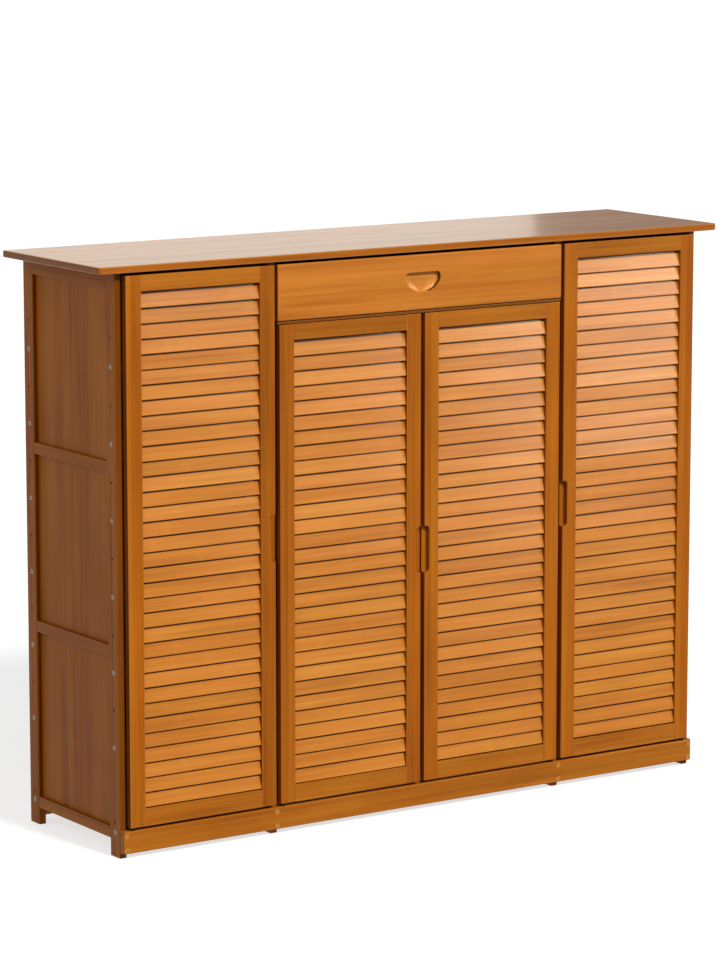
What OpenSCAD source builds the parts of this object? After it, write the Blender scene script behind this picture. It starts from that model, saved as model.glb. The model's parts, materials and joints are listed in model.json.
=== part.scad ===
// Four-door louvred shoe cabinet of stained bamboo, with one wide drawer over the centre pair of doors.
// Origin: on the floor, under the middle of the cabinet. +X is to the right of a person who faces the
// doors, the doors face -Y, and +Z is up. All sizes are in millimetres.

/* [Overall] */
// Length of the top board
top_len = 1200; // [1160:10:1240]
// Depth of the top board
top_depth = 302; // [296:1:330]
// Thickness of the top board
top_t = 11; // [9:0.5:14]
// Height from the floor to the upper face of the top board
height = 931; // [925:1:950]
// How far the top board stands out past each side frame
side_overhang = 36; // [20:1:50]
// How far the top board stands out past the door fronts
front_overhang = 3; // [1:0.5:10]
// Radius of the top board's corners, seen from above
top_corner_r = 8; // [2:1:20]

/* [Doors] */
// Gap between the two centre doors
centre_gap = 8; // [6:0.5:12]
// Gap between an outer door and the centre door beside it
partition_gap = 9; // [8:0.5:14]
// Height of the door bottoms above the floor
door_z0 = 50; // [48:0.5:54]
// Height of an outer door
outer_door_h = 865; // [855:1:868]
// Height of a centre door
centre_door_h = 770; // [760:1:770]
// Thickness of the doors and of the drawer front
door_t = 12; // [11.5:0.5:13]
// Width of a door stile
stile_w = 27; // [24:0.5:32]
// Height of a door's top rail
top_rail_h = 25; // [20:1:35]
// Height of a door's bottom rail
bottom_rail_h = 28; // [20:1:35]
// Number of slats in an outer door
outer_slats = 34; // [30:1:34]
// Number of slats in a centre door
centre_slats = 30; // [26:1:30]
// Breadth of one slat, across its grain
slat_w = 25.5; // [22:0.5:26]
// Thickness of one slat
slat_t = 3; // [2.5:0.5:4]
// Lean of the slats from upright, lower edge forward
slat_tilt = 14; // [12:1:16]
// Height of the finger recess in a door's face, at its free edge
recess_h = 76; // [50:1:90]
// How far the finger recess reaches in from the door's free edge
recess_w = 9.5; // [6:0.5:12]
// Depth of the finger recess
recess_depth = 9.5; // [6:0.5:10]
// Distance of a pivot pin's axis from the door's hinge edge
pivot_inset = 7; // [6.5:0.5:9]
// Radius of a pivot pin
pin_r = 2; // [1.5:0.1:2]

/* [Frames] */
// Thickness of the side and partition posts
post_t = 12; // [11:0.5:15]
// Breadth of the posts, front to back
post_d = 29; // [25:1:32]
// Gap between the back of the doors and the posts
door_back_gap = 2; // [1.5:0.5:3]
// Height of the side frames' lower and middle rails
side_rail_h = 18; // [14:1:24]
// Height of the side frames' top rail
side_top_rail_h = 26; // [20:1:30]
// Depth of the side panels behind the faces of their frame
panel_recess = 6.5; // [5:0.5:7]
// Thickness of the side panels
panel_t = 4; // [3:0.5:4]
// Height of the kick rail
kick_h = 36; // [30:1:36]
// Thickness of the kick rail
kick_t = 12; // [11.5:0.5:12]
// Half the width of the mullion behind the centre doors
mullion_half_w = 14; // [10:1:16]

/* [Shelves and screws] */
// Thickness of a shelf
shelf_t = 12; // [10:0.5:14]
// Height of the lowest outer shelf that stands above the floor boards
first_shelf_z = 174.7; // [170:0.1:180]
// Height from one shelf to the next
shelf_pitch = 119.7; // [115:0.1:120]
// Radius of a screw head
head_r = 4; // [3.5:0.1:4.5]
// Radius of a screw shank
shank_r = 2; // [1.8:0.1:2.2]
// Length of a shelf screw
screw_len = 32; // [28:1:40]

/* [Drawer] */
// Half the width of the drawer front
drawer_front_half_w = 276.5; // [274:0.5:280]
// Height of the drawer front
drawer_front_h = 89; // [85:1:89]
// Width of the D-shaped pull
pull_w = 68; // [50:1:90]
// Height of the D-shaped pull
pull_h = 32; // [24:1:36]
// Depth of the D-shaped pull
pull_depth = 8; // [5:0.5:9]
// Length of the drawer box behind its front
drawer_len = 246; // [200:1:250]
// Height of the drawer sides
drawer_side_h = 72; // [50:1:74]

/* [Hidden] */
round_fn = 32;
fit = 0.2;            // looseness of tongues and tenons in their slots
run = 0.05;           // radial running clearance of a pin or shank in its hole
under_top = height - top_t;
y_front = -top_depth / 2;
y_rear = top_depth / 2;
door_y0 = y_front + front_overhang;
door_y1 = door_y0 + door_t;
post_y0 = door_y1 + door_back_gap;
rear_post_y0 = y_rear - post_d;
side_x = top_len / 2 - side_overhang;
inner_x = side_x - post_t;
door_w = (2 * inner_x - centre_gap - 2 * partition_gap) / 4;
partition_x0 = centre_gap / 2 + door_w;
partition_x1 = partition_x0 + post_t;
slat_span = door_w - 2 * stile_w;
slat_half_h = (slat_w * cos(slat_tilt) + slat_t * sin(slat_tilt)) / 2 + 0.1;
slat_half_d = (slat_w * sin(slat_tilt) + slat_t * cos(slat_tilt)) / 2;
slat_y = door_t - 0.6 - slat_half_d;
tenon_len = 12;
tenon_t = 4;
tenon_edge = 5;       // shoulder above and below a tenon
pivot_y = door_y0 + door_t / 2;
pin_in_door = 20;
pin_in_rail = 12;
pin_in_top = 6;
recess_r = 6;

kick_z0 = 9;
kick_z1 = kick_z0 + kick_h;
kick_y0 = post_y0 - kick_t;
kick_end_r = 4.5;
spacer_r = 4;
spacer_side_gap = 0.2;

deck_lip_t = 4;
deck_top = door_z0 + centre_door_h + 1 + deck_lip_t;
deck_rail_t = 13;
deck_rail_d = 28;
deck_rail_y0 = post_y0 + 2.5;      // clear of the centre doors' corners as they turn
drawer_z0 = deck_top + 1;
runner_h = 3.7;
runner_w = 14;
drawer_box_z0 = deck_top + runner_h + 0.3;
drawer_side_t = 10;
drawer_half_w = partition_x0 - 3.5;
drawer_groove = 4;
drawer_bottom_t = 4;
drawer_bottom_z = drawer_box_z0 + 4;

shelf_y0 = post_y0 + 4;
back_panel_t = 4;
back_y0 = y_rear - 8;
back_y1 = back_y0 + back_panel_t;
back_rail_y0 = back_y0 - 8;
back_rail_z0 = under_top - 25;
tongue = 5;           // how far a side panel's edge goes into its groove

front_screw_y = post_y0 + post_d / 2;
rear_screw_y = y_rear - post_d / 2;
floor_shelf_z = 39.6;
centre_floor_z = 56;
outer_shelf_z = concat([floor_shelf_z], [for (i = [0:5]) first_shelf_z + i * shelf_pitch]);
centre_shelf_z = concat([centre_floor_z], [for (i = [0:4]) first_shelf_z + (i + 0.5) * shelf_pitch]);
deck_screw_z = deck_top - deck_lip_t - 1;
spare_hole_z = concat(centre_shelf_z, [deck_screw_z]);
head_h = 1.5;
spare_hole_r = 2.4;
spare_hole_depth = 8;
kick_screw_z = [kick_z0 + 6, kick_z1 - 7];
kick_screw_len = 22;
side_rail_z = [28, 318, 607, under_top - side_top_rail_h];

catch_w = 12;
catch_h = 12;
catch_d = 18;
catch_y0 = door_y1 + 1.3;
outer_catch_x = partition_x1 + 8;
centre_catch_x = mullion_half_w + 2;
outer_catch_z = outer_shelf_z[3] - shelf_t / 2 - catch_h;
centre_catch_z = centre_shelf_z[2] - shelf_t / 2 - catch_h;
plate_t = 1;
plate_h = 20;

// One row per door: x of the hinge edge, +1 if the door reaches towards +X from there, height, slats
OUTER_LEFT = [-inner_x, 1, outer_door_h, outer_slats];
CENTRE_LEFT = [-partition_x0, 1, centre_door_h, centre_slats];
CENTRE_RIGHT = [partition_x0, -1, centre_door_h, centre_slats];
OUTER_RIGHT = [inner_x, -1, outer_door_h, outer_slats];

frame_colour = "#b5651d";
slat_colour = "#cf8a45";
inside_colour = "#c48a4a";
steel_colour = "silver";
nylon_colour = "white";

// ---- Helpers ----

// A box from one corner to the opposite one
module box(low, high) {
    translate(low) cube(high - low);
}

// A cylinder that runs along +X from p
module rod_x(p, r, len) {
    translate(p) rotate([0, 90, 0]) cylinder(r = r, h = len, $fn = round_fn);
}

// A cylinder that runs along +Y from p
module rod_y(p, r, len) {
    translate(p) rotate([-90, 0, 0]) cylinder(r = r, h = len, $fn = round_fn);
}

// A cylinder that runs along +Z from p
module rod_z(p, r, len) {
    translate(p) cylinder(r = r, h = len, $fn = round_fn);
}

// Keeps the children on the left (-1) or mirrors them to the right (1)
module on_side(side) {
    mirror([side > 0 ? 1 : 0, 0, 0]) children();
}

// A flat-headed screw along +X: the head's outer face is at p
module screw_x(p, len) {
    difference() {
        union() {
            rod_x(p, head_r, head_h - 0.1);
            rod_x(p, shank_r, len);
        }
        translate(p) cube([1.6, 5, 1], center = true);
        translate(p) cube([1.6, 1, 5], center = true);
    }
}

// The hole for screw_x: a wide bore for the head and a narrow one for the shank
module screw_hole_x(p, len) {
    rod_x(p - [1, 0, 0], head_r + 0.15, head_h + 1);
    rod_x(p - [1, 0, 0], shank_r + run, len + 1.5);
}

// ---- Top ----

module top_board() {
    color(frame_colour) difference() {
        union() {
            box([-top_len / 2, y_front + top_corner_r, under_top], [top_len / 2, y_rear, height]);
            box([-top_len / 2 + top_corner_r, y_front, under_top],
                [top_len / 2 - top_corner_r, y_rear, height]);
            for (s = [-1, 1])
                rod_z([s * (top_len / 2 - top_corner_r), y_front + top_corner_r, under_top],
                      top_corner_r, top_t);
        }
        for (s = [-1, 1])
            rod_z([s * (inner_x - pivot_inset), pivot_y, under_top - 1], pin_r + run, pin_in_top + 1.2);
    }
}

// ---- Side frames, drawn for the left side ----

// Lowest and highest visible height of side panel i
function panel_z0(i) = side_rail_z[i] + side_rail_h;
function panel_z1(i) = side_rail_z[i + 1];

// The groove that holds the side panels' edges
module side_panel_groove() {
    for (i = [0:2])
        box([-side_x + panel_recess - fit / 2, post_y0 + post_d - tongue, panel_z0(i) - tongue],
            [-side_x + panel_recess + panel_t + fit / 2, rear_post_y0 + tongue, panel_z1(i) + tongue]);
}

// A side post with its screw holes; y0 is its front face
module side_post(y0) {
    screw_y = y0 + post_d / 2;
    color(frame_colour) difference() {
        box([-side_x, y0, 0], [-inner_x, y0 + post_d, under_top]);
        side_panel_groove();
        for (z = outer_shelf_z) screw_hole_x([-side_x, screw_y, z], screw_len);
        for (z = spare_hole_z) rod_x([-side_x - 1, screw_y, z], spare_hole_r, spare_hole_depth + 1);
        if (y0 < 0) for (z = kick_screw_z)
            rod_y([-side_x + post_t / 2, y0 - 1, z], shank_r + run, kick_screw_len - kick_t + 2);
    }
}

module side_rails() {
    color(frame_colour) difference() {
        for (i = [0:3])
            box([-side_x, post_y0 + post_d, side_rail_z[i]],
                [-inner_x, rear_post_y0, side_rail_z[i] + (i == 3 ? side_top_rail_h : side_rail_h)]);
        side_panel_groove();
    }
}

module side_panels() {
    edge = tongue - fit;
    color(frame_colour) for (i = [0:2])
        box([-side_x + panel_recess, post_y0 + post_d - edge, panel_z0(i) - edge],
            [-side_x + panel_recess + panel_t, rear_post_y0 + edge, panel_z1(i) + edge]);
}

// ---- Partitions between the bays, drawn for the left side ----

// Screws at the outer shelves' heights come from the centre bay, and the others from the outer bay
module partition_post(y0) {
    screw_y = y0 + post_d / 2;
    color(inside_colour) difference() {
        box([-partition_x1, y0, 0], [-partition_x0, y0 + post_d, under_top]);
        for (z = outer_shelf_z) mirror([1, 0, 0]) screw_hole_x([partition_x0, screw_y, z], screw_len);
        for (z = centre_shelf_z) screw_hole_x([-partition_x1, screw_y, z], screw_len);
        if (y0 < 0) screw_hole_x([-partition_x1, screw_y, deck_screw_z], screw_len);
        if (y0 < 0) for (z = kick_screw_z)
            rod_y([-partition_x0 - post_t / 2, y0 - 1, z], shank_r + run, kick_screw_len - kick_t + 2);
    }
}

module partition_panel() {
    color(inside_colour)
        box([-partition_x1 + 2, post_y0 + post_d, kick_z0], [-partition_x0 - 2, rear_post_y0, under_top]);
}

// ---- Kick rail, back and middle ----

module kick_rail() {
    color(frame_colour) difference() {
        union() {
            box([-side_x, kick_y0 + kick_end_r, kick_z0], [side_x, post_y0, kick_z1]);
            box([-side_x + kick_end_r, kick_y0, kick_z0], [side_x - kick_end_r, post_y0, kick_z1]);
            for (s = [-1, 1])
                rod_z([s * (side_x - kick_end_r), kick_y0 + kick_end_r, kick_z0], kick_end_r, kick_h);
        }
        for (s = [-1, 1]) {
            for (x = [inner_x, partition_x0])
                rod_z([s * (x - pivot_inset), pivot_y, kick_z1 - pin_in_rail - 0.2],
                      pin_r + run, pin_in_rail + 1);
            for (x = [side_x - post_t / 2, (partition_x0 + partition_x1) / 2], z = kick_screw_z) {
                rod_y([s * x, kick_y0 - 1, z], shank_r + run, kick_t + 2);
                rod_y([s * x, kick_y0 - 1, z], head_r + 0.15, head_h + 1);
            }
        }
    }
}

module back_panels() {
    color(inside_colour) {
        for (s = [-1, 1]) on_side(s)
            box([-inner_x, back_y0, kick_z0], [-partition_x1, back_y1, under_top - 1]);
        box([-partition_x0, back_y0, kick_z0], [partition_x0, back_y1, under_top - 1]);
    }
}

module back_rails() {
    color(inside_colour) {
        for (s = [-1, 1]) on_side(s)
            box([-inner_x, back_rail_y0, back_rail_z0], [-partition_x1, back_y0, under_top]);
        box([-partition_x0, back_rail_y0, back_rail_z0], [partition_x0, back_y0, under_top]);
    }
}

module centre_mullion() {
    color(frame_colour)
        box([-mullion_half_w, post_y0, kick_z0], [mullion_half_w, post_y0 + post_t, deck_top - deck_rail_t]);
}

// ---- Deck under the drawer ----

// A rail between the partitions, with a thin lip that reaches forward over the centre doors
module deck_rail() {
    color(frame_colour) difference() {
        union() {
            box([-partition_x0, deck_rail_y0, deck_top - deck_rail_t],
                [partition_x0, deck_rail_y0 + deck_rail_d, deck_top]);
            box([-partition_x0, post_y0, deck_top - deck_lip_t], [partition_x0, deck_rail_y0, deck_top]);
            box([-drawer_front_half_w, kick_y0, deck_top - deck_lip_t],
                [drawer_front_half_w, post_y0, deck_top]);
        }
        for (s = [-1, 1]) {
            rod_z([s * (partition_x0 - pivot_inset), pivot_y, deck_top - deck_lip_t - 1], pin_r + run, 4.2);
            on_side(s) screw_hole_x([-partition_x1, front_screw_y, deck_screw_z], screw_len);
        }
    }
}

module deck_board() {
    color(inside_colour)
        box([-partition_x0, deck_rail_y0 + deck_rail_d, deck_top - 8], [partition_x0, back_y0, deck_top]);
}

module drawer_runners() {
    color(inside_colour) for (s = [-1, 1]) on_side(s)
        box([-partition_x0, shelf_y0, deck_top],
            [-partition_x0 + runner_w, back_y0 - 2, deck_top + runner_h]);
}

// ---- Shelves ----

module outer_shelves() {
    color(inside_colour) for (z = outer_shelf_z) difference() {
        box([-inner_x, shelf_y0, z - shelf_t / 2], [-partition_x1, back_y0, z + shelf_t / 2]);
        for (y = [front_screw_y, rear_screw_y]) {
            screw_hole_x([-side_x, y, z], screw_len);
            mirror([1, 0, 0]) screw_hole_x([partition_x0, y, z], screw_len);
        }
    }
}

// The centre shelves are notched round the mullion
module centre_shelves() {
    color(inside_colour) for (z = centre_shelf_z) difference() {
        box([-partition_x0, shelf_y0, z - shelf_t / 2], [partition_x0, back_y0, z + shelf_t / 2]);
        box([-mullion_half_w - fit, shelf_y0 - 1, z - shelf_t],
            [mullion_half_w + fit, post_y0 + post_t + fit, z + shelf_t]);
        for (s = [-1, 1], y = [front_screw_y, rear_screw_y])
            on_side(s) screw_hole_x([-partition_x1, y, z], screw_len);
    }
}

// ---- Fasteners, catches and spacers ----

module frame_screws() {
    color(steel_colour) for (s = [-1, 1]) on_side(s) {
        for (y = [front_screw_y, rear_screw_y]) {
            for (z = outer_shelf_z) {
                screw_x([-side_x, y, z], screw_len);
                mirror([1, 0, 0]) screw_x([partition_x0, y, z], screw_len);
            }
            for (z = centre_shelf_z) screw_x([-partition_x1, y, z], screw_len);
        }
        screw_x([-partition_x1, front_screw_y, deck_screw_z], screw_len);
    }
}

module kick_screws() {
    color(steel_colour)
        for (s = [-1, 1], x = [side_x - post_t / 2, (partition_x0 + partition_x1) / 2], z = kick_screw_z)
            translate([s * x, kick_y0, z]) rotate([0, 0, 90]) screw_x([0, 0, 0], kick_screw_len);
}

// Each catch hangs under a shelf, just behind the strike plate of its door
module magnet_catches() {
    color(nylon_colour) for (s = [-1, 1]) on_side(s) {
        box([-outer_catch_x - catch_w, catch_y0, outer_catch_z],
            [-outer_catch_x, catch_y0 + catch_d, outer_catch_z + catch_h]);
        box([-centre_catch_x - catch_w, catch_y0, centre_catch_z],
            [-centre_catch_x, catch_y0 + catch_d, centre_catch_z + catch_h]);
    }
}

// A collar round each lower pivot pin carries the door
module pivot_spacers() {
    color(nylon_colour) for (s = [-1, 1], x = [inner_x, partition_x0]) difference() {
        rod_z([s * (x - pivot_inset), pivot_y, kick_z1], spacer_r, door_z0 - kick_z1 - spacer_side_gap);
        rod_z([s * (x - pivot_inset), pivot_y, kick_z1 - 1], pin_r + run, door_z0 - kick_z1 + 2);
    }
}

// ---- Doors: the hinge edge is at x = 0, the front face at y = 0 and the bottom at z = 0 ----

module at_door(door) {
    translate([door[0], door_y0, door_z0]) mirror([door[1] < 0 ? 1 : 0, 0, 0]) children();
}

// Middle height of slat i
function slat_z(door, i) =
    bottom_rail_h + slat_half_h
    + i * (door[2] - top_rail_h - bottom_rail_h - 2 * slat_half_h) / (door[3] - 1);

// The two rails, each with a tenon at both ends; grow widens the tenons into mortises
module rail_tenons(door, grow) {
    for (r = [[0, bottom_rail_h], [door[2] - top_rail_h, top_rail_h]])
        box([stile_w - tenon_len - grow, (door_t - tenon_t - grow) / 2, r[0] + tenon_edge - grow / 2],
            [door_w - stile_w + tenon_len + grow, (door_t + tenon_t + grow) / 2,
             r[0] + r[1] - tenon_edge + grow / 2]);
}

module hinge_stile(door) {
    color(frame_colour) at_door(door) difference() {
        cube([stile_w, door_t, door[2]]);
        rail_tenons(door, fit);
        for (z = [-1, door[2] - pin_in_door - 0.2])
            rod_z([pivot_inset, door_t / 2, z], pin_r + 0.02, pin_in_door + 1.2);
    }
}

// A recess in the door's face with round inner corners, at half height of the door's free edge
module finger_recess(door) {
    translate([door_w - recess_w, recess_depth, door[2] / 2])
        rotate([90, 0, 0]) linear_extrude(recess_depth + 1) {
            translate([recess_r, -recess_h / 2]) square([recess_w, recess_h]);
            translate([0, -recess_h / 2 + recess_r]) square([recess_w, recess_h - 2 * recess_r]);
            for (s = [-1, 1])
                translate([recess_r, s * (recess_h / 2 - recess_r)]) circle(r = recess_r, $fn = round_fn);
        }
}

module latch_stile(door) {
    color(frame_colour) at_door(door) difference() {
        translate([door_w - stile_w, 0, 0]) cube([stile_w, door_t, door[2]]);
        rail_tenons(door, fit);
        finger_recess(door);
    }
}

module door_rails(door) {
    color(frame_colour) at_door(door) {
        translate([stile_w, 0, 0]) cube([slat_span, door_t, bottom_rail_h]);
        translate([stile_w, 0, door[2] - top_rail_h]) cube([slat_span, door_t, top_rail_h]);
        rail_tenons(door, 0);
    }
}

// The slats are glued between the stiles, each leaning with its lower edge forward
module door_slats(door) {
    color(slat_colour) at_door(door) for (i = [0:door[3] - 1])
        translate([door_w / 2, slat_y, slat_z(door, i)]) rotate([-slat_tilt, 0, 0])
            cube([slat_span, slat_t, slat_w], center = true);
}

// The upper pin is longer where it has to cross the gap under the top board
module pivot_pins(door) {
    up = door[2] == outer_door_h ? under_top - door_z0 - outer_door_h + pin_in_top : 4;
    down = door_z0 - kick_z1 + pin_in_rail;
    color(steel_colour) at_door(door) {
        rod_z([pivot_inset, door_t / 2, -down], pin_r, down + pin_in_door);
        rod_z([pivot_inset, door_t / 2, door[2] - pin_in_door], pin_r, pin_in_door + up);
    }
}

// x is the plate's middle, measured from the door's free edge, and z its middle above the floor
module strike_plate(door, x, z) {
    color(steel_colour) at_door(door)
        box([door_w - x - catch_w / 2, door_t, z - door_z0 - plate_h / 2],
            [door_w - x + catch_w / 2, door_t + plate_t, z - door_z0 + plate_h / 2]);
}

module outer_strike_plate(door) {
    strike_plate(door, outer_catch_x + catch_w / 2 - (inner_x - door_w), outer_catch_z + catch_h / 2);
}

module centre_strike_plate(door) {
    strike_plate(door, centre_catch_x + catch_w / 2 - centre_gap / 2, centre_catch_z + catch_h / 2);
}

// ---- Drawer ----

// Straight top with rounded corners, over half an ellipse; the middle of the top edge is at the origin
module pull_outline() {
    corner = 7;
    rim = pull_w / 2 - corner;
    polygon(concat(
        [for (a = [90:-15:0]) [rim + corner * cos(a), -corner + corner * sin(a)]],
        [for (a = [-6:-6:-174]) [pull_w / 2 * cos(a), -corner + (pull_h - corner) * sin(a)]],
        [for (a = [180:-15:90]) [-rim + corner * cos(a), -corner + corner * sin(a)]]));
}

module drawer_front() {
    color(frame_colour) difference() {
        box([-drawer_front_half_w, door_y0, drawer_z0],
            [drawer_front_half_w, door_y1, drawer_z0 + drawer_front_h]);
        translate([0, door_y0 + pull_depth, drawer_z0 + (drawer_front_h + pull_h) / 2])
            rotate([90, 0, 0]) linear_extrude(pull_depth + 1) pull_outline();
        drawer_screw_holes();
    }
}

// The bottom's groove runs along the sides and the back; grow widens the board into that groove
module drawer_bottom_board(grow) {
    half_w = drawer_half_w - drawer_side_t + drawer_groove + grow;
    y1 = door_y1 + drawer_len - drawer_side_t + drawer_groove + grow;
    box([-half_w, door_y1 + 0.5 - grow, drawer_bottom_z - grow / 2],
        [half_w, y1, drawer_bottom_z + drawer_bottom_t + grow / 2]);
}

module drawer_side(side) {
    color(inside_colour) difference() {
        on_side(side) translate([-drawer_half_w, door_y1, drawer_box_z0])
            cube([drawer_side_t, drawer_len, drawer_side_h]);
        drawer_bottom_board(fit);
        drawer_screw_holes();
    }
}

module drawer_back() {
    color(inside_colour) difference() {
        box([-drawer_half_w + drawer_side_t, door_y1 + drawer_len - drawer_side_t, drawer_box_z0],
            [drawer_half_w - drawer_side_t, door_y1 + drawer_len, drawer_box_z0 + drawer_side_h]);
        drawer_bottom_board(fit);
        drawer_screw_holes();
    }
}

module drawer_bottom() {
    color(inside_colour) drawer_bottom_board(0);
}

drawer_screw_z = [drawer_box_z0 + 16, drawer_box_z0 + drawer_side_h - 12];
drawer_screw_len = 26;

// Two screws at each corner: through the sides into the back, and from the box into the front
module drawer_screws() {
    color(steel_colour) for (s = [-1, 1], z = drawer_screw_z) on_side(s) {
        screw_x([-drawer_half_w, door_y1 + drawer_len - drawer_side_t / 2, z], drawer_screw_len);
        rod_y([-drawer_half_w + drawer_side_t / 2, door_y1 - 9, z], shank_r, 9 + drawer_screw_len);
    }
}

module drawer_screw_holes() {
    for (s = [-1, 1], z = drawer_screw_z) on_side(s) {
        screw_hole_x([-drawer_half_w, door_y1 + drawer_len - drawer_side_t / 2, z], drawer_screw_len);
        rod_y([-drawer_half_w + drawer_side_t / 2, door_y1 - 9.1, z], shank_r + run, 9.2 + drawer_screw_len);
    }
}

// ---- What is drawn ----

top_board();
side_post(post_y0);  // left_front_post
side_post(rear_post_y0);  // left_rear_post
side_rails();  // left_side_rails
side_panels();  // left_side_panels
on_side(1) side_post(post_y0);  // right_front_post
on_side(1) side_post(rear_post_y0);  // right_rear_post
on_side(1) side_rails();  // right_side_rails
on_side(1) side_panels();  // right_side_panels
partition_post(post_y0);  // left_partition_front_post
partition_post(rear_post_y0);  // left_partition_rear_post
partition_panel();  // left_partition_panel
on_side(1) partition_post(post_y0);  // right_partition_front_post
on_side(1) partition_post(rear_post_y0);  // right_partition_rear_post
on_side(1) partition_panel();  // right_partition_panel
kick_rail();
back_panels();
back_rails();
centre_mullion();
deck_rail();
deck_board();
drawer_runners();
outer_shelves();  // left_shelves
centre_shelves();
on_side(1) outer_shelves();  // right_shelves
frame_screws();
kick_screws();
magnet_catches();
pivot_spacers();
hinge_stile(OUTER_LEFT);  // outer_left_hinge_stile
latch_stile(OUTER_LEFT);  // outer_left_latch_stile
door_rails(OUTER_LEFT);  // outer_left_rails
door_slats(OUTER_LEFT);  // outer_left_slats
pivot_pins(OUTER_LEFT);  // outer_left_pivot_pins
outer_strike_plate(OUTER_LEFT);  // outer_left_strike_plate
hinge_stile(CENTRE_LEFT);  // centre_left_hinge_stile
latch_stile(CENTRE_LEFT);  // centre_left_latch_stile
door_rails(CENTRE_LEFT);  // centre_left_rails
door_slats(CENTRE_LEFT);  // centre_left_slats
pivot_pins(CENTRE_LEFT);  // centre_left_pivot_pins
centre_strike_plate(CENTRE_LEFT);  // centre_left_strike_plate
hinge_stile(CENTRE_RIGHT);  // centre_right_hinge_stile
latch_stile(CENTRE_RIGHT);  // centre_right_latch_stile
door_rails(CENTRE_RIGHT);  // centre_right_rails
door_slats(CENTRE_RIGHT);  // centre_right_slats
pivot_pins(CENTRE_RIGHT);  // centre_right_pivot_pins
centre_strike_plate(CENTRE_RIGHT);  // centre_right_strike_plate
hinge_stile(OUTER_RIGHT);  // outer_right_hinge_stile
latch_stile(OUTER_RIGHT);  // outer_right_latch_stile
door_rails(OUTER_RIGHT);  // outer_right_rails
door_slats(OUTER_RIGHT);  // outer_right_slats
pivot_pins(OUTER_RIGHT);  // outer_right_pivot_pins
outer_strike_plate(OUTER_RIGHT);  // outer_right_strike_plate
drawer_front();
drawer_side(-1);  // drawer_left_side
drawer_side(1);  // drawer_right_side
drawer_back();
drawer_bottom();
drawer_screws();
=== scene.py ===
"""Looks of a four-door louvred bamboo shoe cabinet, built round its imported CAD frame."""
import json
import math
import random

import bmesh
import bpy
from mathutils import Matrix, Vector


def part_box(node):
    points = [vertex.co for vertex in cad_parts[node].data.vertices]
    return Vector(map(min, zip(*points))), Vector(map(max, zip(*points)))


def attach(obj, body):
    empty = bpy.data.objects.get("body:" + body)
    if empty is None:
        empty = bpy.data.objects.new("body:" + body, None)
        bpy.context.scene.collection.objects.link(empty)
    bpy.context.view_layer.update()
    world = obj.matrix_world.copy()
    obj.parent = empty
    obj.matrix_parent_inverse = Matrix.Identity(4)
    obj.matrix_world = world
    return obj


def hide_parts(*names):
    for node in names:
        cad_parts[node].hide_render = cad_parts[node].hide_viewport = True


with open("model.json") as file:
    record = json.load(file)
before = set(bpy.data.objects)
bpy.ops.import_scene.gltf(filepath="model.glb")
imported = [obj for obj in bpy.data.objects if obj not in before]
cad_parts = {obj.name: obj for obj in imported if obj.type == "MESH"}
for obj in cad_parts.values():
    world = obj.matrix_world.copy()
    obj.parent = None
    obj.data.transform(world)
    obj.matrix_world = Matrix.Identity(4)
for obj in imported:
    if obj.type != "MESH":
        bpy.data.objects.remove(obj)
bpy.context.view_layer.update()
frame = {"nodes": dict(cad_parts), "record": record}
NODES = frame["nodes"]
MM = 0.001
X, Y, Z = 0, 1, 2
DOORS = ("outer_left", "centre_left", "centre_right", "outer_right")

# ---- Colours, as linear RGB: dark, middle and light fibres of each kind of board ----
FRAME = ((0.20, 0.043, 0.001), (0.30, 0.077, 0.002), (0.39, 0.117, 0.004))
DEEP = ((0.16, 0.035, 0.001), (0.25, 0.060, 0.002), (0.33, 0.094, 0.003))
FRONT = ((0.28, 0.074, 0.006), (0.40, 0.121, 0.013), (0.49, 0.170, 0.024))
TOP = ((0.19, 0.054, 0.004), (0.28, 0.092, 0.009), (0.36, 0.134, 0.018))
SIDE = ((0.17, 0.040, 0.002), (0.26, 0.070, 0.003), (0.34, 0.100, 0.006))
SLAT = ((0.27, 0.076, 0.006), (0.39, 0.126, 0.013), (0.48, 0.174, 0.027))
RAIL = ((0.20, 0.049, 0.002), (0.30, 0.087, 0.005), (0.39, 0.131, 0.010))
TOP_EDGE = ((0.21, 0.050, 0.002), (0.31, 0.084, 0.005), (0.40, 0.122, 0.010))
# Painted shade: the top board's ends are darker as if in shade
TOP_END = ((0.11, 0.026, 0.002), (0.17, 0.046, 0.004), (0.23, 0.066, 0.006))
# Painted shade: for faces in shadow, the pull's wall facing left, the front posts' front faces and the outer
# left door's left edge
SHADED = ((0.080, 0.016, 0.001), (0.12, 0.028, 0.002), (0.16, 0.041, 0.003))
# Painted shadow: the deck rail is dark as if in the drawer front's shadow
DECK_RAIL_SHADE = ((0.07, 0.018, 0.001), (0.11, 0.030, 0.002), (0.15, 0.045, 0.003))
# Painted light: lighter colours for the lit floor and walls of the drawer front's pull
PULL = ((0.38, 0.120, 0.016), (0.50, 0.180, 0.028), (0.58, 0.230, 0.045))
INSIDE = ((0.26, 0.080, 0.010), (0.38, 0.135, 0.020), (0.48, 0.190, 0.035))
JOINT_TINT = (0.15, 0.032, 0.003)
YELLOWER = (0.98, 1.07, 1.0)
# Painted shade on each slat by its upper front edge, where the slat above shades it
PAINTED_GAP_SHADE = (0.22, 0.17, 0.15)
AMBER_GLOSS = (1.0, 0.45, 0.10, 1.0)

# ---- Bamboo's patterns: scale along the fibres and across them, per metre, and detail ----
BROAD = (2.2, 60.0, 3.0)
BANDS = (3.0, 190.0, 2.0)
FINE = (7.0, 520.0, 3.0)
FLECKS = (45.0, 900.0, 1.0)
HUES = (1.3, 24.0, 2.0)
CLOUD = (5.0, 16.0, 1.0)
END_DOTS = (50.0, 1400.0, 2.0)
STRIP = 20 * MM
JOINTS_PER_METRE = 3.4
JOINT_LINE = (0.0035, 0.0085)
JOINT_HALO = (0.004, 0.045)
BUMP_DEPTH = 0.12 * MM


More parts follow.
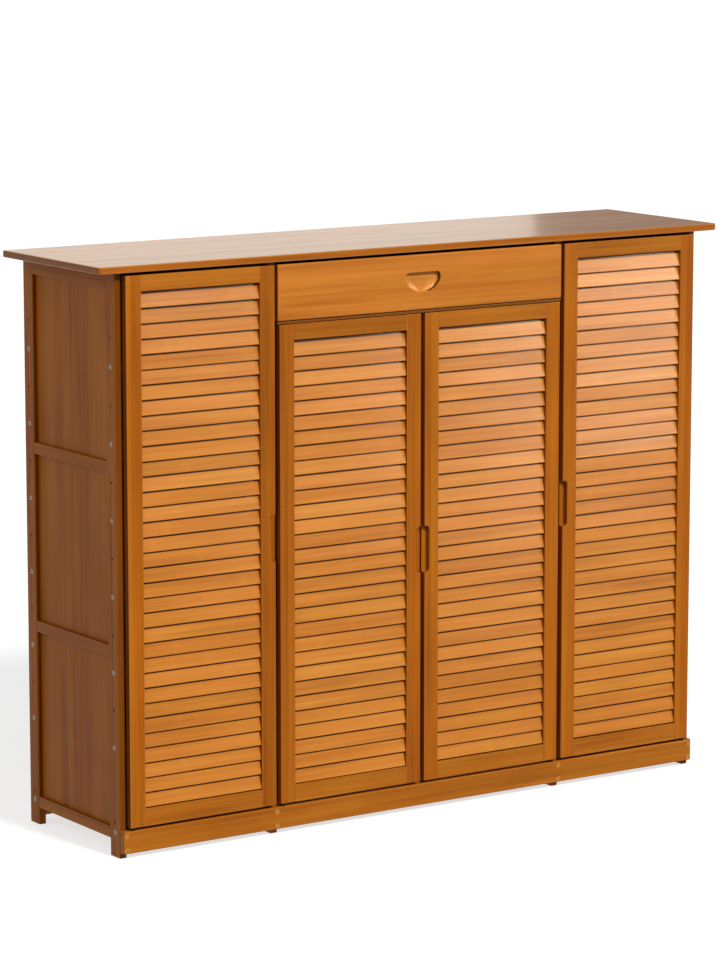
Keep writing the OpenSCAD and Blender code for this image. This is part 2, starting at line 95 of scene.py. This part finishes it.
class Graph:
    """Adds shader nodes to a material and joins them, to keep the materials short."""

    def __init__(self, name):
        self.material = bpy.data.materials.new(name)
        self.material.use_nodes = True
        self.tree = self.material.node_tree
        self.shader = self.tree.nodes["Principled BSDF"]

    def node(self, kind, **values):
        made = self.tree.nodes.new(kind)
        for key, value in values.items():
            setattr(made, key, value)
        return made

    def plug(self, value, socket):
        if isinstance(value, bpy.types.NodeSocket):
            self.tree.links.new(value, socket)
        else:
            socket.default_value = value

    def math(self, operation, a, b=0.0, clamp=False):
        made = self.node("ShaderNodeMath", operation=operation, use_clamp=clamp)
        self.plug(a, made.inputs[0])
        self.plug(b, made.inputs[1])
        return made.outputs[0]

    def scaled(self, value, factor):
        return self.math("MULTIPLY", value, factor)

    def xyz(self, x, y, z):
        made = self.node("ShaderNodeCombineXYZ")
        for value, socket in zip((x, y, z), made.inputs):
            self.plug(value, socket)
        return made.outputs[0]

    def noise(self, vector, detail=2.0, rough=0.5):
        made = self.node("ShaderNodeTexNoise")
        self.plug(vector, made.inputs["Vector"])
        made.inputs["Scale"].default_value = 1.0
        made.inputs["Detail"].default_value = detail
        made.inputs["Roughness"].default_value = rough
        return made.outputs["Fac"]

    def spread(self, value, low, high, to_low=0.0, to_high=1.0, smooth=False):
        made = self.node("ShaderNodeMapRange", interpolation_type="SMOOTHSTEP" if smooth else "LINEAR")
        for item, socket in zip((value, low, high, to_low, to_high), made.inputs):
            self.plug(item, socket)
        return made.outputs["Result"]

    def ramp(self, value, colours):
        made = self.node("ShaderNodeValToRGB")
        stops = made.color_ramp.elements
        while len(stops) < len(colours):
            stops.new(0.5)
        for stop, (place, colour) in zip(stops, colours):
            stop.position = place
            stop.color = (*colour, 1.0)
        self.plug(value, made.inputs["Fac"])
        return made.outputs["Color"]

    def multiply(self, colour, by):
        made = self.node("ShaderNodeMix", data_type="RGBA", blend_type="MULTIPLY")
        made.inputs[0].default_value = 1.0
        self.plug(colour, made.inputs[6])
        self.plug((*by, 1.0), made.inputs[7])
        return made.outputs[2]

    def blend(self, share, a, b):
        made = self.node("ShaderNodeMix", data_type="RGBA", blend_type="MIX")
        self.plug(share, made.inputs[0])
        self.plug(a, made.inputs[6])
        self.plug(b, made.inputs[7])
        return made.outputs[2]

    def relief(self, height, strength, depth):
        bump = self.node("ShaderNodeBump")
        bump.inputs["Strength"].default_value = strength
        bump.inputs["Distance"].default_value = depth
        self.plug(height, bump.inputs["Height"])
        self.plug(bump.outputs[0], self.shader.inputs["Normal"])


def darker(colour, share):
    return tuple(c * share for c in colour)


def bamboo(name, along, colours, seed, coat=0.05, gloss=0.25, joints=0.08, spread=0.24, slats=False):
    """Laminated bamboo whose fibres run along axis 0, 1 or 2: strips of their own tone, fibre streaks,
    short dark flecks, the culm's joints as thin cross lines, and an end grain of dots."""
    g = Graph(name)
    place = g.node("ShaderNodeTexCoord")
    parts = g.node("ShaderNodeSeparateXYZ")
    g.plug(place.outputs["Object"], parts.inputs[0])
    across = [i for i in range(3) if i != along]
    u, v, w = parts.outputs[along], parts.outputs[across[0]], parts.outputs[across[1]]
    shift = seed * 3.17
    if slats:
        # Each slat is one strip, whose tone and place in the pattern come with its mesh
        strip_tone = g.node("ShaderNodeAttribute", attribute_name="tone").outputs["Fac"]
        slat_shift = g.math("MULTIPLY_ADD", strip_tone, 57.0)
        slat_shift.node.inputs[2].default_value = shift
        shift = slat_shift
    else:
        row = g.math("FLOOR", g.scaled(g.math("ADD", v, seed * 0.613), 1 / STRIP))
        layer = g.math("FLOOR", g.scaled(g.math("ADD", w, seed * 0.377), 1 / STRIP))
        random_strip = g.node("ShaderNodeTexWhiteNoise", noise_dimensions="3D")
        g.plug(g.xyz(row, layer, float(seed)), random_strip.inputs["Vector"])
        strip_tone = random_strip.outputs["Value"]
    strip_shift = g.math("ADD", shift, g.scaled(strip_tone, 9.0))

    def streaks(pattern, start):
        along_scale, across_scale, detail = pattern
        return g.noise(g.xyz(g.math("ADD", g.scaled(u, along_scale), start),
                             g.scaled(v, across_scale), g.scaled(w, across_scale)), detail)

    def centred(value, share):
        return g.scaled(g.math("SUBTRACT", value, 0.5), share)

    fine = streaks(FINE, strip_shift)
    flecks = g.spread(streaks(FLECKS, strip_shift), 0.60, 0.74, smooth=True)
    joint = g.math("FRACT", g.math("ADD", g.scaled(u, JOINTS_PER_METRE), g.scaled(strip_tone, 7.7)))
    from_joint = g.math("ABSOLUTE", g.math("SUBTRACT", joint, 0.5))
    line = g.spread(from_joint, *JOINT_LINE, 1.0, 0.0, smooth=True)
    halo = g.spread(from_joint, *JOINT_HALO, 1.0, 0.0, smooth=True)

    # Every pattern moves the tone up or down a little, and the ramp gives the tone its colour
    tone = g.math("ADD", centred(strip_tone, spread), 0.5)
    for value, share in ((streaks(BROAD, strip_shift), 0.75), (streaks(BANDS, strip_shift), 0.45),
                         (fine, 0.45), (streaks(CLOUD, shift), 0.5)):
        tone = g.math("ADD", tone, centred(value, share))
    tone = g.math("SUBTRACT", tone, g.scaled(flecks, 0.10))
    tone = g.math("ADD", tone, g.scaled(halo, 0.05), clamp=True)
    dark, mid, light = colours
    body = g.ramp(tone, ((0.12, dark), (0.5, mid), (0.9, light)))
    body = g.blend(g.scaled(line, joints), body, (*JOINT_TINT, 1.0))
    hue = g.spread(streaks(HUES, strip_shift), 0.42, 0.68, smooth=True)
    body = g.blend(hue, body, g.multiply(body, YELLOWER))
    if slats:
        # Painted shade by each slat's upper front edge, under the slat above
        gap_shade = g.node("ShaderNodeAttribute", attribute_name="gap_shade").outputs["Fac"]
        body = g.blend(gap_shade, body, g.multiply(body, PAINTED_GAP_SHADE))

    facing = g.node("ShaderNodeSeparateXYZ")
    g.plug(place.outputs["Normal"], facing.inputs[0])
    end = g.spread(g.math("ABSOLUTE", facing.outputs[along]), 0.75, 0.95)
    dots = streaks(END_DOTS, 0.0)
    end_colour = g.ramp(dots, ((0.35, darker(dark, 0.45)), (0.62, mid)))
    g.plug(g.blend(end, body, end_colour), g.shader.inputs["Base Color"])

    g.plug(g.spread(fine, 0.3, 0.7, 0.46, 0.34), g.shader.inputs["Roughness"])
    g.relief(g.math("ADD", fine, g.scaled(halo, 0.8)), 0.35, BUMP_DEPTH)
    g.shader.inputs["Coat Weight"].default_value = coat
    g.shader.inputs["Coat Roughness"].default_value = 0.25 if slats else 0.16
    g.shader.inputs["Coat IOR"].default_value = 1.5
    g.shader.inputs["Specular IOR Level"].default_value = gloss
    g.shader.inputs["Specular Tint"].default_value = AMBER_GLOSS
    return g.material


def mottled(name, colour, scale, detail, low_share):
    """A material whose colour varies finely between the given one and a darker one, and its pattern."""
    g = Graph(name)
    place = g.node("ShaderNodeTexCoord")
    grain = g.noise(place.outputs["Object"], detail)
    grain.node.inputs["Scale"].default_value = scale
    g.plug(g.ramp(grain, ((0.3, darker(colour, low_share)), (0.7, colour))), g.shader.inputs["Base Color"])
    return g, grain


def metal(name, colour, rough):
    """Plated steel with a slightly mottled polish."""
    g, spots = mottled(name, colour, 900.0, 3.0, 0.8)
    g.plug(g.spread(spots, 0.3, 0.7, rough, rough + 0.12), g.shader.inputs["Roughness"])
    g.shader.inputs["Metallic"].default_value = 1.0
    return g.material


def nylon(name, colour, gloss):
    """Moulded nylon with a fine spark-eroded grain."""
    g, grain = mottled(name, colour, 2500.0, 2.0, 0.9)
    g.relief(grain, 0.3, 0.05 * MM)
    g.plug(g.spread(grain, 0.3, 0.7, 0.38, 0.5), g.shader.inputs["Roughness"])
    g.shader.inputs["Specular IOR Level"].default_value = gloss
    return g.material


# ---- Helpers for pieces ----
TOUCHING = 0.01 * MM
SHARP = math.radians(40)
BEVEL_SEGMENTS = 2


def even_normals(piece):
    """Lets the large faces set the shading, so that a rounded edge doesn't bend it."""
    normals = piece.modifiers.new("normals", "WEIGHTED_NORMAL")
    normals.weight = 100


def ease(piece, width, worn_and_highlit_slot=-1):
    """Rounds a piece's sharp edges a little, so that they catch the light as sanded wood does; the rounded
    faces take the slot's lighter material, for wear and a painted highlight.
    """
    weld = piece.modifiers.new("weld", "WELD")
    weld.merge_threshold = TOUCHING
    flat = piece.modifiers.new("flat", "DECIMATE")
    flat.decimate_type = "DISSOLVE"
    flat.angle_limit = math.radians(0.5)
    bevel = piece.modifiers.new("ease", "BEVEL")
    bevel.width = width
    bevel.segments = BEVEL_SEGMENTS
    bevel.limit_method = "ANGLE"
    bevel.angle_limit = SHARP
    bevel.use_clamp_overlap = False
    bevel.material = worn_and_highlit_slot
    even_normals(piece)


def wear(piece, *materials):
    """Gives a piece these materials, as slots 0, 1, 2 and on."""
    piece.data.materials.clear()
    for material in materials:
        piece.data.materials.append(material)


def stand_in(name, mesh, node, body):
    """Makes a piece of a finished mesh, which stands for a CAD node and rides on its body."""
    data = bpy.data.meshes.new(name)
    mesh.to_mesh(data)
    mesh.free()
    piece = bpy.data.objects.new(name, data)
    bpy.context.scene.collection.objects.link(piece)
    even_normals(piece)
    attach(piece, body)
    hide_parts(node)
    return piece


# ---- Which finish each CAD node has: fibre axis, colours and edge rounding in millimetres ----
finishes = {
    "top_board": (X, TOP, 1.6),
    "kick_rail": (X, RAIL, 1.5),
    "drawer_front": (X, FRONT, 2.4),
    # The deck rail's colour is a painted shadow
    "deck_rail": (X, DECK_RAIL_SHADE, 0.6),
    "deck_board": (X, INSIDE, 0.4),
    "back_rails": (X, INSIDE, 0.5),
    "back_panels": (Z, INSIDE, 0.3),
    "centre_mullion": (Z, FRAME, 0.6),
    "drawer_runners": (Y, INSIDE, 0.3),
    "drawer_back": (X, INSIDE, 0.6),
    "drawer_bottom": (X, INSIDE, 0.2),
}
for side in ("left", "right"):
    finishes[side + "_front_post"] = (Z, SIDE, 1.0)
    finishes[side + "_rear_post"] = (Z, SIDE, 1.0)
    finishes[side + "_side_rails"] = (Y, SIDE, 0.7)
    finishes[side + "_side_panels"] = (Z, SIDE, 0.3)
    finishes[side + "_partition_front_post"] = (Z, FRAME, 0.8)
    finishes[side + "_partition_rear_post"] = (Z, INSIDE, 0.8)
    finishes[side + "_partition_panel"] = (Z, INSIDE, 0.3)
    finishes["drawer_" + side + "_side"] = (Y, INSIDE, 0.5)
for bay in ("left", "centre", "right"):
    finishes[bay + "_shelves"] = (X, INSIDE, 0.8)
for door in DOORS:
    finishes[door + "_hinge_stile"] = (Z, DEEP if door == "centre_left" else FRAME, 0.8)
    finishes[door + "_latch_stile"] = (Z, DEEP if door == "outer_left" else FRAME, 0.8)
    finishes[door + "_rails"] = (X, RAIL, 0.3)
RECUT = ("kick_rail", "drawer_front", "left_front_post", "left_rear_post",
         "right_front_post", "right_rear_post", "drawer_left_side", "drawer_right_side")
BODY_OF = {node: body for body, nodes in frame["record"]["behaviour"]["bodies"].items() for node in nodes}


worn_and_highlit_edges = {}


def worn_and_highlit_edge(axis, colours):
    """The same bamboo, lighter on an edge where sanding has thinned the stain and as a painted highlight,
    most of all on the drawer front.
    """
    key = (axis, colours)
    if key not in worn_and_highlit_edges:
        number = len(worn_and_highlit_edges)
        share = 1.0 if colours == FRONT else 0.2
        lighter = tuple((r * (1 + 0.25 * share) + 0.05 * share, g * (1 + 0.50 * share) + 0.03 * share,
                         b * (1 + share) + 0.03 * share) for r, g, b in colours)
        worn_and_highlit_edges[key] = bamboo("worn_edge_%d" % number, axis, lighter, 200 + number, coat=0.35)
    return worn_and_highlit_edges[key]


# The slots of a bored board's materials
WOOD, WORN_AND_HIGHLIT, BORE_SHADE, WALL, PULL_FLOOR = range(5)
BORED_DEPTH = 2.8 * MM
PULL_HALF_WIDTH = 40 * MM
PULL_DEPTHS = (1 * MM, 9 * MM)
PULL_RIM = 0.6 * MM
LONG_EDGE = 10 * MM
END_ARC = 4.6 * MM


def in_pull(node, place, low):
    """Whether a place is on the floor or a wall of the drawer front's pull."""
    nearest, deepest = PULL_DEPTHS
    return node == "drawer_front" and abs(place.x) < PULL_HALF_WIDTH and nearest < place.y - low.y < deepest


def wear_bored(piece, node, material, worn_and_highlit):
    """Gives the faces inside a bored board's holes a painted shade; in the drawer front's pull, a painted
    shade on the wall facing left and painted light on the floor and other walls; and a painted shadow on the
    front posts' front faces.
    """
    wear(piece, material, worn_and_highlit, bore_shade, shaded, pull_floor)
    low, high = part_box(node)
    for face in piece.data.polygons:
        depth = min(min(face.center - low), min(high - face.center))
        if in_pull(node, face.center, low):
            # Painted shade on the pull's wall facing left, painted light on its floor and other walls
            if abs(face.normal.z) < 0.999:
                face.material_index = WALL if face.normal.x < -0.2 else PULL_FLOOR
        # Painted shade inside the bores
        elif depth > BORED_DEPTH:
            face.material_index = BORE_SHADE
        # Painted shadow on the front posts' front faces, which the doors shade
        elif node.endswith("front_post") and face.normal.y < -0.5:
            face.material_index = WALL


def recut(node, width):
    """Stands for a CAD node with many bores: the same shape with only its outer edges rounded."""
    low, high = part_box(node)
    mesh = bmesh.new()
    mesh.from_mesh(NODES[node].data)
    bmesh.ops.remove_doubles(mesh, verts=mesh.verts, dist=1e-6)
    outer, rim = [], []
    for edge in mesh.edges:
        if len(edge.link_faces) != 2 or edge.calc_face_angle() < SHARP:
            continue
        ends = [v.co for v in edge.verts]
        at_end_arc = all((p.z - low.z < TOUCHING or high.z - p.z < TOUCHING) and p.y < low.y + END_ARC
                         and min(p.x - low.x, high.x - p.x) < END_ARC for p in ends)
        sides = sum(all(abs(p[axis] - limit[axis]) < TOUCHING for p in ends)
                    for axis in range(3) for limit in (low, high))
        if (edge.calc_length() > LONG_EDGE and sides >= 2) or at_end_arc:
            outer.append(edge)
        elif node == "drawer_front" and all(p.y < low.y + TOUCHING for p in ends):
            rim.append(edge)
    for edges, offset in ((rim, PULL_RIM), (outer, width)):
        if edges:
            bmesh.ops.bevel(mesh, geom=edges, offset=offset, offset_type="OFFSET", segments=BEVEL_SEGMENTS,
                            profile=0.5, affect="EDGES", clamp_overlap=False, material=WORN_AND_HIGHLIT)
    for face in mesh.faces:
        face.smooth = not in_pull(node, face.calc_center_median(), low)
    return stand_in(node + "_wood", mesh, node, BODY_OF[node])


# Painted shade for walls in shadow, painted light for the pull's floor, and painted shade inside the bores
shaded = bamboo("shaded_wall", Z, SHADED, 78)
pull_floor = bamboo("pull_floor", X, PULL, 66, coat=0.1)
bore_shade = bamboo("drilled_bamboo", Y, tuple(darker(tone, 0.06) for tone in FRAME), 77, coat=0.0, gloss=0.1)
for number, (name, (axis, colours, edge)) in enumerate(sorted(finishes.items())):
    coat = {TOP: 0.5, SIDE: 0.0}.get(colours, 0.05)
    gloss = 0.12 if colours == SIDE else 0.25
    material = bamboo(name + "_bamboo", axis, colours, number + 1, coat, gloss)
    if name in RECUT:
        wear_bored(recut(name, edge * MM), name, material, worn_and_highlit_edge(axis, colours))
    else:
        wear(NODES[name], material, worn_and_highlit_edge(axis, colours))
        ease(NODES[name], edge * MM, worn_and_highlit_slot=WORN_AND_HIGHLIT)

# The top board's front and back edges are stained deeper than its face; its ends are darker still as painted
# shade, and so is the outer left door's left edge
EDGE_SLOT, END_SLOT = 2, 3
top = NODES["top_board"].data
top.materials.append(bamboo("top_board_edge", X, TOP_EDGE, 68, coat=0.1))
top.materials.append(bamboo("top_board_end", Y, TOP_END, 69, coat=0.1))
for face in top.polygons:
    if abs(face.normal.z) < 0.5:
        face.material_index = END_SLOT if abs(face.normal.x) > 0.75 else EDGE_SLOT
stile = NODES["outer_left_hinge_stile"].data
stile.materials.append(bamboo("stile_edge", Z, SHADED, 70))
for face in stile.polygons:
    if face.normal.x < -0.9:
        face.material_index = EDGE_SLOT

# ---- Metal and nylon ----
steel = metal("screw_steel", (0.31, 0.26, 0.20), 0.34)
bronze = metal("screw_bronze", (0.52, 0.23, 0.05), 0.34)
pin_steel = metal("pin_steel", (0.020, 0.016, 0.012), 0.55)
plate_steel = metal("plate_steel", (0.50, 0.49, 0.47), 0.30)
for name, finish in (("frame_screws", steel), ("kick_screws", bronze), ("drawer_screws", steel)):
    wear(NODES[name], finish)
for name, colour, gloss in (("magnet_catches", (0.75, 0.74, 0.70), 0.5),
                            ("pivot_spacers", (0.012, 0.006, 0.003), 0.1)):
    wear(NODES[name], nylon(name + "_nylon", colour, gloss))
    ease(NODES[name], 0.4 * MM)
for door in DOORS:
    wear(NODES[door + "_pivot_pins"], pin_steel)
    wear(NODES[door + "_strike_plate"], plate_steel)

# ---- Slats: rounded boards, each with its own tone and a hair's difference in lean ----
SLAT_LEAN = math.radians(14)
SLAT_BREADTH = 25.5 * MM
SLAT_THICK = 3.0 * MM
SLAT_ROUNDING = 0.9 * MM
SLAT_IN_STILE = 0.4 * MM
END_GAP = 1.0 * MM
# How far down a slat's front the painted shade is full, and where it fades out
GAP_SHADE_FULL = 3.6 * MM
GAP_SHADE_END = 5.0 * MM
# How far a slat may be from its place: millimetres up or down, millimetres forward or back, degrees of lean
HEIGHT_OFF = 0.45
DEPTH_OFF = 0.3
LEAN_OFF = 1.3
SLAT_COUNT = {"outer_left": 34, "centre_left": 30, "centre_right": 30, "outer_right": 34}


def slat_section(depth, height, radius, steps=3):
    """Points round a rounded rectangle, and how much painted shade each has, by the front's upper edge."""
    points = []
    for cx, cy, start in ((1, 1, 0), (-1, 1, 90), (-1, -1, 180), (1, -1, 270)):
        for i in range(steps + 1):
            angle = math.radians(start + 90 * i / steps)
            points.append((cx * (depth / 2 - radius) + radius * math.cos(angle),
                           cy * (height / 2 - radius) + radius * math.sin(angle), 0.0))
        if (cx, cy) == (-1, 1):
            points[-1] = (*points[-1][:2], 1.0)
            points.append((-depth / 2, height / 2 - GAP_SHADE_FULL, 1.0))
            points.append((-depth / 2, height / 2 - GAP_SHADE_END, 0.0))
    return points


def build_slats(door, seed):
    """Replaces a door's slats with rounded boards that each have their own tone, height and lean."""
    low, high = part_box(door + "_slats")
    half = (SLAT_BREADTH * math.cos(SLAT_LEAN) + SLAT_THICK * math.sin(SLAT_LEAN)) / 2
    first, last = low.z + half + END_GAP, high.z - half - END_GAP
    count = SLAT_COUNT[door]
    section = slat_section(SLAT_THICK, SLAT_BREADTH, SLAT_ROUNDING)
    draw = random.Random(seed)
    mesh = bmesh.new()
    tone = mesh.verts.layers.float.new("tone")
    gap_shade = mesh.verts.layers.float.new("gap_shade")
    for i in range(count):
        z = first + (last - first) * i / (count - 1) + draw.uniform(-HEIGHT_OFF, HEIGHT_OFF) * MM
        y = (low.y + high.y) / 2 + draw.uniform(-DEPTH_OFF, DEPTH_OFF) * MM
        lean = SLAT_LEAN + math.radians(draw.uniform(-LEAN_OFF, LEAN_OFF))
        own = draw.betavariate(1.6, 1.6)
        turn = Matrix.Rotation(-lean, 3, "X")
        rings = []
        for x in (low.x - SLAT_IN_STILE, high.x + SLAT_IN_STILE):
            ring = []
            for dy, dz, gap_shaded in section:
                vertex = mesh.verts.new(turn @ Vector((0, dy, dz)) + Vector((x, y, z)))
                vertex[tone] = own
                vertex[gap_shade] = gap_shaded
                ring.append(vertex)
            rings.append(ring)
        size = len(section)
        for j in range(size):
            k = (j + 1) % size
            face = mesh.faces.new((rings[0][j], rings[0][k], rings[1][k], rings[1][j]))
            face.smooth = True
        mesh.faces.new(list(reversed(rings[0])))
        mesh.faces.new(rings[1])
    bmesh.ops.recalc_face_normals(mesh, faces=mesh.faces)
    piece = stand_in(door + "_louvres", mesh, door + "_slats", door + "_door")
    wear(piece, bamboo(door + "_louvre_bamboo", X, SLAT, seed,
                       coat=0.22, joints=0.0, spread=0.26, slats=True))


for seed, door in enumerate(DOORS):
    build_slats(door, 101 + seed)

# ---- Floor: it glows softly, but not in the shade under the cabinet ----
FLOOR_HALF = 60.0
SHADE_X = (0.44, 0.50)
SHADE_Y = (0.10, 0.13)
SHADE_MIDDLE_Y = 0.03
floor_mesh = bpy.data.meshes.new("floor")
floor_mesh.from_pydata([(-FLOOR_HALF, -FLOOR_HALF, 0), (FLOOR_HALF, -FLOOR_HALF, 0),
                        (FLOOR_HALF, FLOOR_HALF, 0), (-FLOOR_HALF, FLOOR_HALF, 0)], [], [(0, 1, 2, 3)])
floor = bpy.data.objects.new("floor", floor_mesh)
bpy.context.scene.collection.objects.link(floor)
paint = Graph("pale_floor")
paint.shader.inputs["Base Color"].default_value = (0.36, 0.36, 0.36, 1)
paint.shader.inputs["Emission Strength"].default_value = 0.68
ground = paint.node("ShaderNodeTexCoord")
ground_axes = paint.node("ShaderNodeSeparateXYZ")
paint.plug(ground.outputs["Object"], ground_axes.inputs[0])
across_x = paint.math("ABSOLUTE", ground_axes.outputs[X])
across_y = paint.math("ABSOLUTE", paint.math("SUBTRACT", ground_axes.outputs[Y], SHADE_MIDDLE_Y))
shade = paint.math("MULTIPLY", paint.spread(across_x, *SHADE_X, 1.0, 0.0, smooth=True),
                   paint.spread(across_y, *SHADE_Y, 1.0, 0.0, smooth=True))
glow = paint.math("SUBTRACT", 1.0, shade)
paint.plug(paint.ramp(glow, ((0.0, (0, 0, 0)), (1.0, (1, 1, 1)))), paint.shader.inputs["Emission Color"])
paint.shader.inputs["Roughness"].default_value = 0.9
paint.shader.inputs["Specular IOR Level"].default_value = 0.1
wear(floor, paint.material)
floor.visible_diffuse = False


# ---- Lights ----
# The front sheen doesn't reach the tops of boards, which would turn white when seen from behind
upward = bpy.data.collections.new("not_lit_by_the_front_sheen")
for spared in (NODES["top_board"], bpy.data.objects["drawer_left_side_wood"],
               bpy.data.objects["drawer_right_side_wood"]):
    upward.objects.link(spared)
for entry in upward.collection_objects:
    entry.light_linking.link_state = "EXCLUDE"


def softbox(name, place, aim, width, height, power, sheen_only=False, colour=(1, 1, 1), spares=None):
    """Adds a rectangular lamp that the camera doesn't see. Its sheen alone can be kept."""
    light = bpy.data.lights.new(name, "AREA")
    light.shape = "RECTANGLE"
    light.size = width
    light.size_y = height
    light.energy = power
    light.color = colour
    made = bpy.data.objects.new(name, light)
    made.location = place
    made.rotation_euler = (Vector(aim) - Vector(place)).to_track_quat("-Z", "Y").to_euler()
    made.visible_camera = False
    made.visible_diffuse = not sheen_only
    if spares:
        made.light_linking.receiver_collection = spares
    bpy.context.scene.collection.objects.link(made)


SUN_WAY = Vector((-0.12, 0.80, -0.62))
sun_data = bpy.data.lights.new("key", "SUN")
sun_data.energy = 3.9
sun_data.angle = math.radians(9)
sun = bpy.data.objects.new("key", sun_data)
sun.rotation_euler = SUN_WAY.to_track_quat("-Z", "Y").to_euler()
bpy.context.scene.collection.objects.link(sun)
softbox("louvre_sheen", (2.75, -2.6, 1.95), (0.45, 0, 0.75), 1.2, 1.1, 84, True, spares=upward)
softbox("left_sheen", (1.15, -2.75, 2.15), (-0.42, 0, 0.85), 0.6, 0.5, 17, True, spares=upward)
softbox("back_sheen", (1.40, 2.6, 1.5), (0, 0, 0.93), 1.4, 0.9, 4.3, True, (1, 0.97, 0.86))
softbox("side_fill", (-2.6, -0.6, 1.7), (-0.56, 0, 0.5), 1.6, 1.6, 21)

world = bpy.data.worlds.new("studio")
world.use_nodes = True
background = world.node_tree.nodes["Background"]
background.inputs["Color"].default_value = (1, 1, 1, 1)
background.inputs["Strength"].default_value = 0.36
bpy.context.scene.world = world
bpy.context.scene.view_settings.view_transform = "Standard"

# ---- Camera ----
LOOK_DOWN = 9.55
TURN_RIGHT = 33.95
camera_data = bpy.data.cameras.new("camera")
camera_data.lens = 146.0
camera_data.shift_x = -0.004
camera_data.clip_end = 300
camera = bpy.data.objects.new("camera", camera_data)
camera.location = (-3.541, -5.237, 1.592)
camera.rotation_euler = (math.radians(90 - LOOK_DOWN), 0, math.radians(-TURN_RIGHT))
bpy.context.scene.collection.objects.link(camera)
bpy.context.scene.camera = camera
